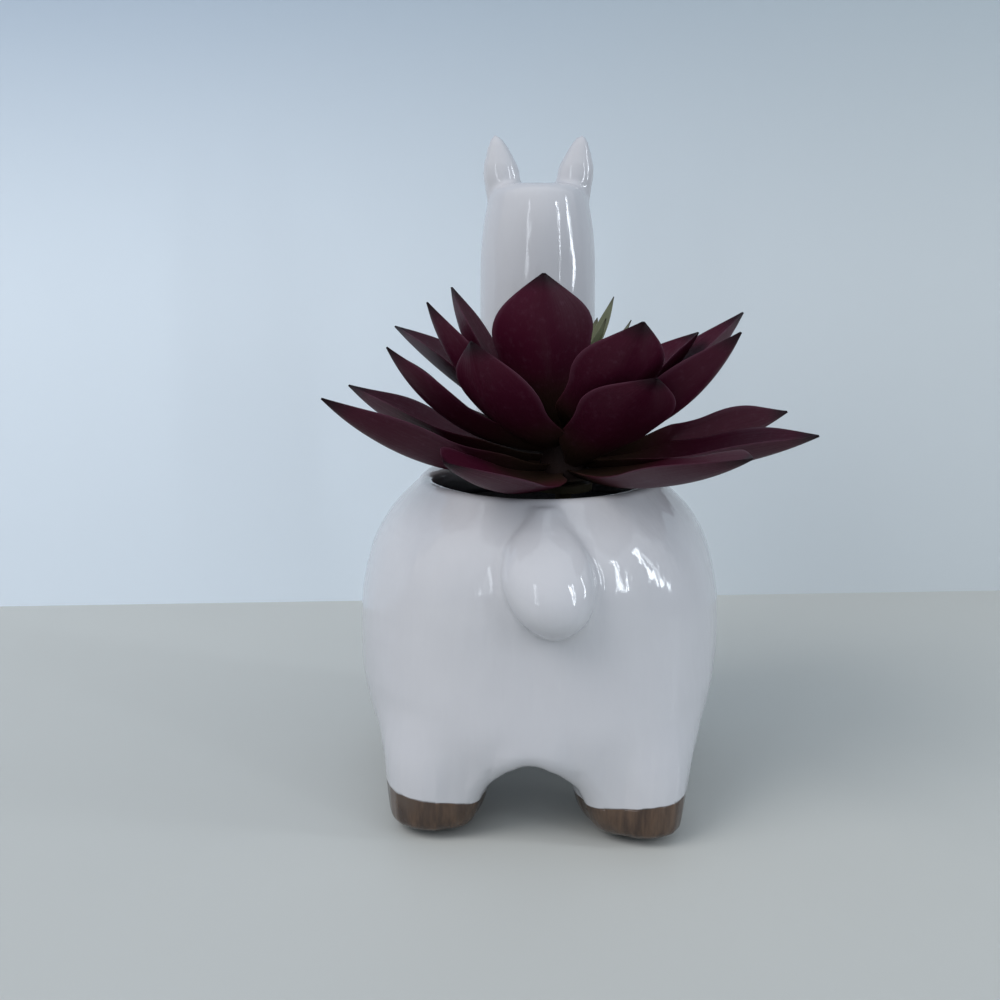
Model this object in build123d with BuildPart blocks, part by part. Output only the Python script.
from build123d import *
import os
from math import cos, pi, radians, sin, tau

# A glazed ceramic llama planter with an artificial succulent in the hollow of its back.
# Millimetres, +Z up. The animal faces +Y and its right flank is on +X.
# Places are measured from the middle of the trunk, on the surface that the hooves stand on.

os.makedirs("parts", exist_ok=True)

# The middle of the trunk, seen from the middle of the whole object's footprint
trunk_from_origin_x = -9.0
trunk_from_origin_y = -4.2

# Trunk
trunk_width = 108.0
rump_reach = 55.0
chest_reach = 58.0
rim_height = 97.5
wall = 4.5
cut_overrun = 12.0

# Opening in the back, where the plant goes in
mouth_width = 66.4
mouth_rear_reach = 35.2
mouth_front_reach = 17.5
throat_height = 4.0
lip_rounding = 1.6

# Gaps between the legs, and the ends of the legs
leg_gap_width = 28.0
leg_gap_height = 24.0
side_gap_length = 40.0
side_gap_height = 28.0
leg_rounding = 6.0
dip_height = 8.0
dip_slope = 6.5
hoof_chamfer = 3.5

# Neck and head
head_height = 187.0
neck_width = 38.8
neck_back_reach = 24.0
neck_front_reach = 62.5
crown_rounding = 5.0

# Muzzle
muzzle_reach = 81.0
muzzle_width = 27.0
muzzle_depth = 24.0
muzzle_below_crown = 24.0
muzzle_drop = 3.0
muzzle_rounding = 5.0

# Ears
ear_rise = 15.5
ear_width = 11.6
ear_thickness = 8.6
ear_spacing = 23.0
ear_splay = 4.4
ear_from_neck_back = 17.0

# Tail
tail_width = 26.6
tail_below_rim = 1.5
tail_length = 31.5
tail_out_from_rump = 9.5
tail_depth = 12.0

# Foam block in the hollow
foam_clearance = 1.5
foam_recess = 8.5
foam_seat_gap = 0.3

# Stem and the moulded head that carries the leaves
stem_x = 7.0
stem_y = -2.0
stem_radius = 2.5
stem_clearance = 0.1
stem_depth = 36.0
core_foot_radius = 4.5
core_low_radius = 8.0
core_high_radius = 5.0
core_below_rim = 0.5
core_height = 25.0
collar_radius = 9.0
collar_thickness = 2.4

# Large leaves
leaf_length = 70.0
leaf_width = 31.0
leaf_thickness = 3.4

# Small leaves at the heart of the rosette
heart_length = 33.0
heart_width = 6.4
heart_thickness = 1.6
heart_outer_radius = 4.8
heart_inner_radius = 3.6
heart_hub_height = 2.6
bud_height = 12.0
bud_radius = 1.9

# The trunk's level sections: height as a share of the rim's height, half width, rear and front reach
# as shares of the trunk's own, how much the front narrows, and the exponent of the rounded outline
trunk_section_shares = (
    (0.00, 0.820, 0.93, 0.90, 0.00, 2.70),
    (0.16, 0.820, 0.94, 0.91, 0.00, 2.70),
    (0.34, 0.915, 0.97, 0.95, 0.00, 2.60),
    (0.50, 0.975, 0.99, 0.98, 0.00, 2.40),
    (0.66, 1.000, 1.00, 1.00, 0.00, 2.25),
    (0.81, 0.965, 0.97, 1.02, 0.05, 2.15),
    (0.92, 0.835, 0.85, 1.03, 0.20, 2.10),
    (1.00, 0.690, 0.72, 1.03, 0.35, 2.10),
)

# The hollow's level sections between its floor and the mouth, as shares of the trunk less its wall
hollow_section_shares = (
    (0.00, 0.76, 0.78, 0.76, 2.40),
    (0.06, 0.87, 0.88, 0.87, 2.40),
    (0.30, 0.98, 0.99, 0.96, 2.35),
    (0.55, 1.00, 1.00, 0.98, 2.25),
    (0.75, 0.95, 0.96, 0.82, 2.15),
    (0.90, 0.80, 0.82, 0.48, 2.10),
)

# The neck's level sections: height as a share of the head's, half width and half depth as shares of the
# neck's own, and how far the section stands forward as a share of the half depth
neck_section_shares = (
    (0.420, 1.36, 0.95, -0.26),
    (0.520, 1.26, 1.03, -0.07),
    (0.575, 1.12, 1.01, -0.02),
    (0.670, 1.03, 1.00, 0.00),
    (0.800, 1.00, 1.00, 0.00),
    (0.885, 0.98, 0.99, -0.02),
    (0.950, 0.90, 0.93, -0.04),
    (1.000, 0.80, 0.78, -0.04),
)

# The muzzle's upright sections: reach as a share of the way from the neck's middle to its end,
# half width, half depth and drop as shares of the muzzle's own
muzzle_section_shares = (
    (0.15, 1.20, 1.16, 0.0),
    (0.50, 1.06, 1.04, 0.3),
    (0.78, 0.94, 0.90, 0.7),
    (1.00, 0.74, 0.66, 1.0),
)

# The ear's level sections: height as a share of the way up from inside the head, and its size share
ear_section_shares = ((0.00, 0.88), (0.35, 1.00), (0.62, 0.80), (0.86, 0.46), (0.96, 0.25), (1.00, 0.09))

# The tail's level sections: way down from its top, then width, depth and reach shares
tail_section_shares = (
    (0.00, 0.34, 0.27, 0.665),
    (0.20, 0.66, 0.50, 0.800),
    (0.45, 0.98, 0.80, 0.945),
    (0.70, 0.92, 0.90, 1.000),
    (0.90, 0.60, 0.66, 0.975),
    (1.00, 0.20, 0.26, 0.925),
)

# Along a large leaf: way from its foot to its tip, half width share and thickness share
leaf_station_shares = (
    (-0.02, 0.15, 0.70),
    (0.12, 0.24, 0.90),
    (0.30, 0.50, 1.00),
    (0.48, 0.84, 1.00),
    (0.64, 1.00, 0.95),
    (0.80, 0.80, 0.75),
    (0.91, 0.42, 0.50),
    (1.00, 0.03, 0.20),
)
leaf_rib_share = 0.4
leaf_twist_start_share = 0.35

# Each large leaf: name, compass angle from +X, rise above level and roll in degrees, length and width
# shares, sag as a share of the length, height of its foot on the stem's head, and how far it is folded
leaf_place_shares = (
    ("lower_leaf_1", -154, 20, 5, 1.06, 1.00, 0.11, 0.14, 0.47),
    ("lower_leaf_2", 174, 20, 3, 0.91, 1.00, 0.11, 0.24, 0.46),
    ("lower_leaf_3", 146, 11, -4, 0.72, 0.86, 0.07, 0.11, 0.41),
    ("lower_leaf_4", 49, 22, 0, 0.63, 0.83, 0.07, 0.37, 0.45),
    ("lower_leaf_5", 16, 9, -28, 1.00, 1.01, 0.10, 0.26, 0.51),
    ("lower_leaf_6", -18, 10, 2, 1.00, 1.00, 0.07, 0.18, 0.46),
    ("lower_leaf_7", -58, 12, 5, 1.10, 0.99, 0.06, 0.09, 0.37),
    ("lower_leaf_8", -120, 13, -14, 0.89, 0.97, 0.08, 0.05, 0.40),
    ("middle_leaf_1", -166, 34, -1, 0.82, 1.00, 0.13, 0.37, 0.42),
    ("middle_leaf_2", 166, 35, 4, 0.83, 0.97, 0.03, 0.49, 0.37),
    ("middle_leaf_3", 118, 57, 4, 0.52, 0.74, 0.08, 0.49, 0.47),
    ("middle_leaf_4", 18, 37, -6, 0.69, 1.00, 0.08, 0.58, 0.43),
    ("middle_leaf_5", 11, 38, -6, 0.91, 1.00, 0.10, 0.43, 0.45),
    ("middle_leaf_6", -34, 35, 1, 0.88, 0.96, 0.13, 0.47, 0.55),
    ("middle_leaf_7", -62, 36, -15, 0.73, 0.93, 0.05, 0.22, 0.28),
    ("middle_leaf_8", -126, 40, -3, 0.75, 0.95, 0.13, 0.45, 0.21),
    ("upper_leaf_1", -152, 46, -13, 0.81, 0.99, 0.12, 0.56, 0.40),
    ("upper_leaf_2", 167, 55, 4, 0.73, 0.91, 0.12, 0.64, 0.38),
    ("upper_leaf_3", 90, 64, -3, 0.58, 0.80, 0.07, 0.67, 0.47),
    ("upper_leaf_4", 46, 48, 1, 0.55, 0.74, 0.09, 0.76, 0.43),
    ("upper_leaf_5", -16, 52, 0, 0.49, 0.77, 0.08, 0.74, 0.45),
    ("upper_leaf_6", -67, 41, -15, 0.79, 0.96, 0.10, 0.58, 0.40),
    ("upper_leaf_7", -110, 72, 25, 0.69, 0.99, 0.08, 0.68, 0.47),
    ("upper_leaf_8", -165, 66, 0, 0.40, 0.65, 0.08, 0.86, 0.45),
)

# Along a small leaf of the heart: way, half width share and thickness share
heart_station_shares = (
    (0.00, 0.45, 0.90),
    (0.22, 0.78, 1.00),
    (0.52, 1.00, 0.95),
    (0.80, 0.62, 0.75),
    (1.00, 0.04, 0.25),
)
heart_fold_share = 0.3
heart_sag_share = 0.06

# The heart's small leaves: compass angle and rise in degrees, and length share
heart_outer_shares = (
    (8, 53, 0.83),
    (-22, 48, 0.88),
    (52, 58, 0.78),
    (97, 56, 0.74),
    (142, 60, 0.70),
    (-173, 66, 0.74),
    (-128, 68, 0.68),
    (-75, 74, 0.74),
)
heart_inner_shares = (
    (30, 60, 0.91),
    (-30, 62, 0.70),
    (85, 68, 0.74),
    (140, 72, 0.70),
    (-160, 74, 0.72),
    (-95, 76, 0.66),
)

# The bud's outline: height share and radius share
bud_profile_shares = ((0.0, 0.60), (0.3, 1.00), (0.75, 0.55), (1.0, 0.0))

trunk_half_width = trunk_width / 2
neck_half_width = neck_width / 2
neck_half_depth = (neck_front_reach - neck_back_reach) / 2
neck_middle = neck_back_reach + neck_half_depth
hollow_floor = side_gap_height + wall
throat_bottom = rim_height - throat_height
core_bottom = rim_height - core_below_rim
core_top = core_bottom + core_height
foam_top = rim_height - foam_recess
foam_bottom = hollow_floor + foam_seat_gap


def signed_power(value, exponent):
    return abs(value) ** exponent * (1 if value >= 0 else -1)


def rounded_outline(half_width, rear, front, narrowing=0, squareness=2):
    """Points of a level section whose front and rear reach differ."""
    points = []
    for i in range(12):
        across = signed_power(cos(tau * i / 12), 2 / squareness)
        along = signed_power(sin(tau * i / 12), 2 / squareness)
        pinch = 1 - narrowing * max(along, 0) ** 2
        reach = front if along > 0 else rear
        points.append((half_width * across * pinch, reach * along))
    return points


def level_section(height, points):
    """A closed smooth section at a height."""
    with BuildSketch(Plane.XY.offset(height)) as section:
        with BuildLine():
            Spline(*points, periodic=True)
        make_face()
    return section.sketch


def oval_section(plane, half_width, half_depth):
    with BuildSketch(plane) as section:
        Ellipse(half_width, half_depth)
    return section.sketch


def trunk_section(height, width, rear, front, narrowing, squareness):
    points = rounded_outline(
        width * trunk_half_width, rear * rump_reach, front * chest_reach, narrowing, squareness
    )
    return level_section(height * rim_height, points)


def hollow_section(height, width, rear, front, squareness):
    points = rounded_outline(
        width * (trunk_half_width - wall),
        rear * (rump_reach - wall),
        front * (chest_reach - wall),
        squareness=squareness,
    )
    return level_section(hollow_floor + height * (throat_bottom - hollow_floor), points)


def neck_section(height, width, depth, forward):
    centre = (0, neck_middle + forward * neck_half_depth, height * head_height)
    return oval_section(Plane(origin=centre), width * neck_half_width, depth * neck_half_depth)


def muzzle_section(reach, width, depth, drop):
    height = head_height - muzzle_below_crown - drop * muzzle_drop
    centre = (0, neck_middle + reach * (muzzle_reach - neck_middle), height)
    plane = Plane(origin=centre, z_dir=(0, 1, 0), x_dir=(1, 0, 0))
    return oval_section(plane, width * muzzle_width / 2, depth * muzzle_depth / 2)


def finish(piece, name):
    """Moves a piece from the trunk's frame to the object's, labels it and writes it."""
    piece.part = piece.part.moved(Location((trunk_from_origin_x, trunk_from_origin_y, 0)))
    piece.part.label = name
    export_step(piece.part, f"parts/{name}.step")


# Trunk with its four legs: a lofted body, with a rounded gap cut through along it and another across it
with BuildPart() as trunk:
    loft([trunk_section(*shares) for shares in trunk_section_shares])
    with BuildSketch(Plane.XZ):
        Ellipse(leg_gap_width / 2, leg_gap_height)
    extrude(amount=chest_reach + cut_overrun, both=True, mode=Mode.SUBTRACT)
    with BuildSketch(Plane.YZ):
        Ellipse(side_gap_length / 2, side_gap_height)
    extrude(amount=trunk_half_width + cut_overrun, both=True, mode=Mode.SUBTRACT)
    gap_edges = [
        edge
        for edge in trunk.edges()
        if edge.bounding_box().min.Z > -lip_rounding
        and leg_rounding < edge.bounding_box().max.Z < side_gap_height + leg_rounding
    ]
    fillet(gap_edges, leg_rounding)
    fillet(trunk.faces().sort_by(Axis.Z)[-1].edges(), lip_rounding)

# Muzzle: upright oval sections that drop and shrink towards the nose
with BuildPart() as muzzle:
    loft([muzzle_section(*shares) for shares in muzzle_section_shares])
    fillet(muzzle.faces().sort_by(Axis.Y)[-1].edges(), muzzle_rounding)

# Neck and head: level oval sections, closed by a rounded crown
with BuildPart() as neck:
    loft([neck_section(*shares) for shares in neck_section_shares])
    fillet(neck.faces().sort_by(Axis.Z)[-1].edges(), crown_rounding)
    add(muzzle.part)

# Hollow for the plant: follows the trunk's inside, closes in to the mouth and ends in an upright throat
with BuildPart() as hollow:
    mouth = rounded_outline(mouth_width / 2, mouth_rear_reach, mouth_front_reach)
    sections = [hollow_section(*shares) for shares in hollow_section_shares]
    loft([*sections, level_section(throat_bottom, mouth)])
    add(level_section(throat_bottom, mouth))
    extrude(amount=throat_height)

# The whole casting: trunk, neck and head in one, hollowed, with a rounded lip around the mouth
with BuildPart() as casting:
    add(trunk.part)
    add(neck.part)
    add(hollow.part, mode=Mode.SUBTRACT)
    fillet(casting.edges(Select.LAST).group_by(Axis.Z)[-1], lip_rounding)

# Space below the line to which the legs are dipped in brown glaze, rising outwards on both sides
with BuildPart() as dip:
    reach = trunk_half_width + cut_overrun
    outer_height = dip_height + dip_slope * reach / trunk_half_width
    with BuildSketch(Plane.XZ):
        with BuildLine():
            Polyline(
                (-reach, -cut_overrun),
                (-reach, outer_height),
                (0, dip_height),
                (reach, outer_height),
                (reach, -cut_overrun),
                close=True,
            )
        make_face()
    extrude(amount=chest_reach + cut_overrun, both=True)

with BuildPart() as llama_body:
    add(casting.part)
    add(dip.part, mode=Mode.SUBTRACT)

finish(llama_body, "llama_body")


def hoof(side, end):
    """The dipped end of one leg, with a flat sole: side and end are the signs of its place."""
    with BuildPart() as piece:
        add(casting.part)
        add(dip.part, mode=Mode.INTERSECT)
        quarter = [s for s in piece.solids() if s.center().X * side > 0 and s.center().Y * end > 0]
        add(quarter, mode=Mode.REPLACE)
        chamfer(piece.faces().sort_by(Axis.Z)[0].outer_wire().edges(), hoof_chamfer)
    return piece


# Hooves: left and right are the animal's own
for name, side, end in (
    ("rear_left_hoof", -1, -1),
    ("rear_right_hoof", 1, -1),
    ("front_left_hoof", -1, 1),
    ("front_right_hoof", 1, 1),
):
    finish(hoof(side, end), name)


def ear(side):
    """A pointed ear that leans outwards, cut off where it sits on the head."""
    foot = head_height - 2 * crown_rounding
    with BuildPart() as piece:
        sections = []
        for height, size in ear_section_shares:
            across = side * (ear_spacing + ear_splay * height**2) / 2
            up = foot + height * (head_height + ear_rise - foot)
            middle = (across, neck_back_reach + ear_from_neck_back, up)
            sections.append(oval_section(Plane(origin=middle), size * ear_width / 2, size * ear_thickness / 2))
        loft(sections)
        add(neck.part, mode=Mode.SUBTRACT)
    return piece


finish(ear(-1), "left_ear")
finish(ear(1), "right_ear")

# Tail: a teardrop lump that hangs on the rump, cut off where it sits on it
with BuildPart() as tail:
    sections = []
    for way, width, depth, reach in tail_section_shares:
        half_depth = depth * tail_depth
        back = reach * (rump_reach + tail_out_from_rump)
        middle = (0, half_depth - back, rim_height - tail_below_rim - way * tail_length)
        sections.append(oval_section(Plane(origin=middle), width * tail_width / 2, half_depth))
    loft(sections)
    add(trunk.part, mode=Mode.SUBTRACT)
finish(tail, "tail")

# Foam block: fills the hollow below the mouth and lifts out through it, with a hole for the stem
with BuildPart() as foam_block:
    outline = rounded_outline(
        mouth_width / 2 - foam_clearance,
        mouth_rear_reach - foam_clearance,
        mouth_front_reach - foam_clearance,
    )
    with BuildSketch(Plane.XY.offset(foam_bottom)):
        with BuildLine():
            Spline(*outline, periodic=True)
        make_face()
    extrude(amount=foam_top - foam_bottom)
    with BuildSketch(Plane((stem_x, stem_y, foam_top))):
        Circle(stem_radius + stem_clearance)
    extrude(amount=foam_bottom - foam_top, mode=Mode.SUBTRACT)
finish(foam_block, "foam_block")

# Stem: a rod with a tapering head that carries the leaves
stem_plane = Plane(origin=(stem_x, stem_y, 0), x_dir=(1, 0, 0), z_dir=(0, -1, 0))
with BuildPart() as stem:
    with BuildSketch(Plane((stem_x, stem_y, core_bottom - stem_depth))):
        Circle(stem_radius)
    extrude(amount=stem_depth)
    with BuildSketch(stem_plane):
        with BuildLine():
            Polyline(
                (0, core_bottom - collar_thickness / 2),
                (core_foot_radius, core_bottom - collar_thickness / 2),
                (core_low_radius, core_bottom),
                (core_high_radius, core_top),
                (0, core_top),
                close=True,
            )
        make_face()
    revolve(axis=Axis((stem_x, stem_y, 0), (0, 0, 1)))

# Collar: a ring pushed on the rod, under the head
with BuildPart() as collar:
    with BuildSketch(Plane((stem_x, stem_y, core_bottom - collar_thickness / 2))):
        Circle(collar_radius)
        Circle(stem_radius, mode=Mode.SUBTRACT)
    extrude(amount=-collar_thickness)
finish(collar, "collar")


def leaf_plane(foot, azimuth, rise, roll, length, sag, way):
    """Where a leaf is at a share of its length, facing along it."""
    a = radians(azimuth)
    e = radians(rise)
    along = Vector(cos(e) * cos(a), cos(e) * sin(a), sin(e))
    above = Vector(-sin(e) * cos(a), -sin(e) * sin(a), cos(e))
    point = foot + along * (length * way) - above * (4 * sag * length * way * (1 - way))
    heading = (along - above * (4 * sag * (1 - 2 * way))).normalized()
    upright = (above - heading * above.dot(heading)).normalized()
    across = upright.cross(heading)
    turn = radians(roll) * min(1, way / leaf_twist_start_share)
    return Plane(origin=point, x_dir=across * cos(turn) + upright * sin(turn), z_dir=heading)


def leaf_section(plane, half_width, thickness, fold):
    """A leaf cut across: two edges folded up, a rib between them above and a keel below."""
    with BuildSketch(plane) as section:
        with BuildLine():
            Polyline(
                (-half_width, fold * half_width),
                (0, leaf_rib_share * thickness),
                (half_width, fold * half_width),
                (0, (leaf_rib_share - 1) * thickness),
                close=True,
            )
        make_face()
    return section.sketch


def foot_point(azimuth, radius, height):
    a = radians(azimuth)
    return Vector(stem_x + radius * cos(a), stem_y + radius * sin(a), height)


def large_leaf(azimuth, rise, roll, length, width, sag, seat, fold):
    """One large leaf, cut off where it sits on the stem's head."""
    radius = core_low_radius + seat * (core_high_radius - core_low_radius)
    foot = foot_point(azimuth, radius, core_bottom + seat * core_height)
    with BuildPart() as piece:
        sections = []
        for way, half, thick in leaf_station_shares:
            plane = leaf_plane(foot, azimuth, rise, roll, length * leaf_length, sag, way)
            half_width = half * width * leaf_width / 2
            sections.append(leaf_section(plane, half_width, thick * leaf_thickness, fold))
        loft(sections)
        add(stem.part, mode=Mode.SUBTRACT)
    return piece


for name, *shares in leaf_place_shares:
    finish(large_leaf(*shares), name)
finish(stem, "stem")


def heart_whorl(bottom, radius, leaves):
    """A ring of small leaves that grow out of one hub."""
    with BuildPart() as piece:
        with BuildSketch(Plane((stem_x, stem_y, bottom))):
            Circle(radius)
        extrude(amount=heart_hub_height)
        for azimuth, rise, length in leaves:
            foot = foot_point(azimuth, radius - heart_thickness / 2, bottom + heart_hub_height / 2)
            sections = []
            for way, half, thick in heart_station_shares:
                plane = leaf_plane(foot, azimuth, rise, 0, length * heart_length, heart_sag_share, way)
                section = leaf_section(
                    plane, half * heart_width / 2, thick * heart_thickness, heart_fold_share
                )
                sections.append(section)
            loft(sections)
    return piece


finish(heart_whorl(core_top, heart_outer_radius, heart_outer_shares), "heart_outer_whorl")
finish(
    heart_whorl(core_top + heart_hub_height, heart_inner_radius, heart_inner_shares), "heart_inner_whorl"
)

# Closed bud in the middle of the heart
with BuildPart() as centre_bud:
    foot = core_top + 2 * heart_hub_height
    points = [(radius * bud_radius, foot + height * bud_height) for height, radius in bud_profile_shares]
    with BuildSketch(stem_plane):
        with BuildLine():
            Polyline((0, foot), *points, close=True)
        make_face()
    revolve(axis=Axis((stem_x, stem_y, 0), (0, 0, 1)))
finish(centre_bud, "centre_bud")
